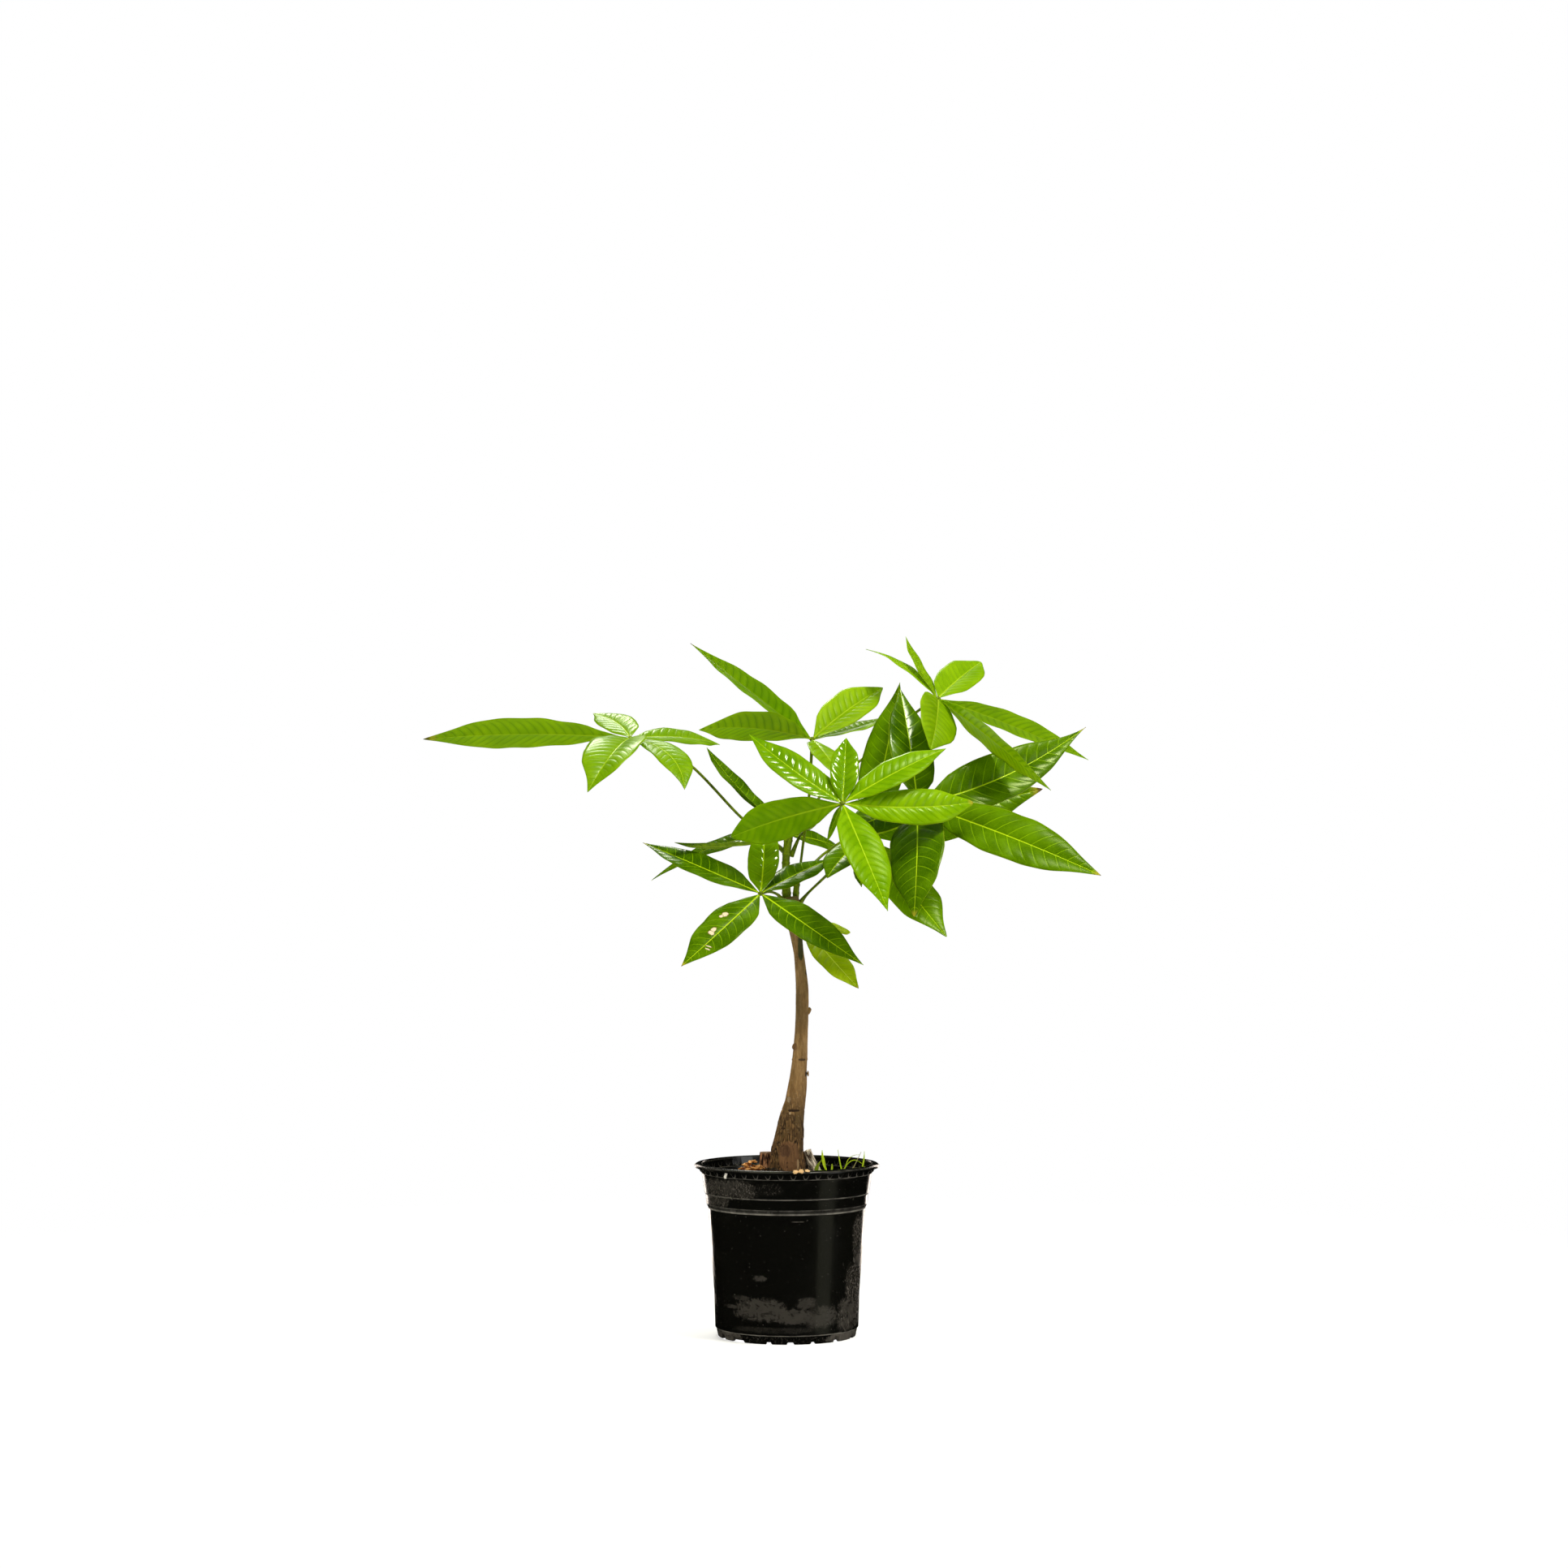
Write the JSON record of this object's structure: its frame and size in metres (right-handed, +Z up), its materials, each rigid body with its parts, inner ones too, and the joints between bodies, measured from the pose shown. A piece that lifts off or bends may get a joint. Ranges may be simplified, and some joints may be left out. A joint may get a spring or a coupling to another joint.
{
  "type": "potted money tree",
  "caption": "Young money tree with a flared bare trunk and a loose crown of palmate leaves, standing in a black stepped nursery pot filled with soil.",
  "frame": {"origin": "middle of the pot's foot on the ground, on the pot's axis", "axes": "+Z up along the pot's axis and the stem, -Y toward the viewer, +X to the viewer's right"},
  "size_m": [0.7595, 0.3521, 0.7984],
  "materials": {
    "pot_plastic": "glossy, dusty in places",
    "earth": "rough, damp crumbs",
    "bark": "rough, finely cracked",
    "green_stem": "satin",
    "leaf": "glossy upper face, thin and translucent",
    "pale_root": "rough fibres",
    "bark_chip": "rough",
    "grass": "satin, thin",
    "dry_straw": "dry, matt",
    "tan_flake": "dry, matt"
  },
  "bodies": {
    "root": {"pot": "pot_plastic", "soil": "earth", "trunk": "bark", "main_shoot": "green_stem", "side_shoot": "green_stem", "leaf_far_left": "leaf", "leaf_top": "leaf", "leaf_top_right": "leaf", "leaf_front": "leaf", "leaf_right": "leaf", "leaf_back_right": "leaf", "leaf_low_left": "leaf", "leaf_back_left": "leaf", "leaf_low_right": "leaf", "stump": "bark", "root_flare": "pale_root", "litter": "bark_chip", "weed_broad": "grass", "weed_dark": "grass", "weed_yellow": "grass", "weed_sprout": "grass", "weed_rim": "grass", "straw": "dry_straw", "flake_1": "tan_flake", "flake_2": "tan_flake", "flake_3": "tan_flake"}
  },
  "joints": []
}
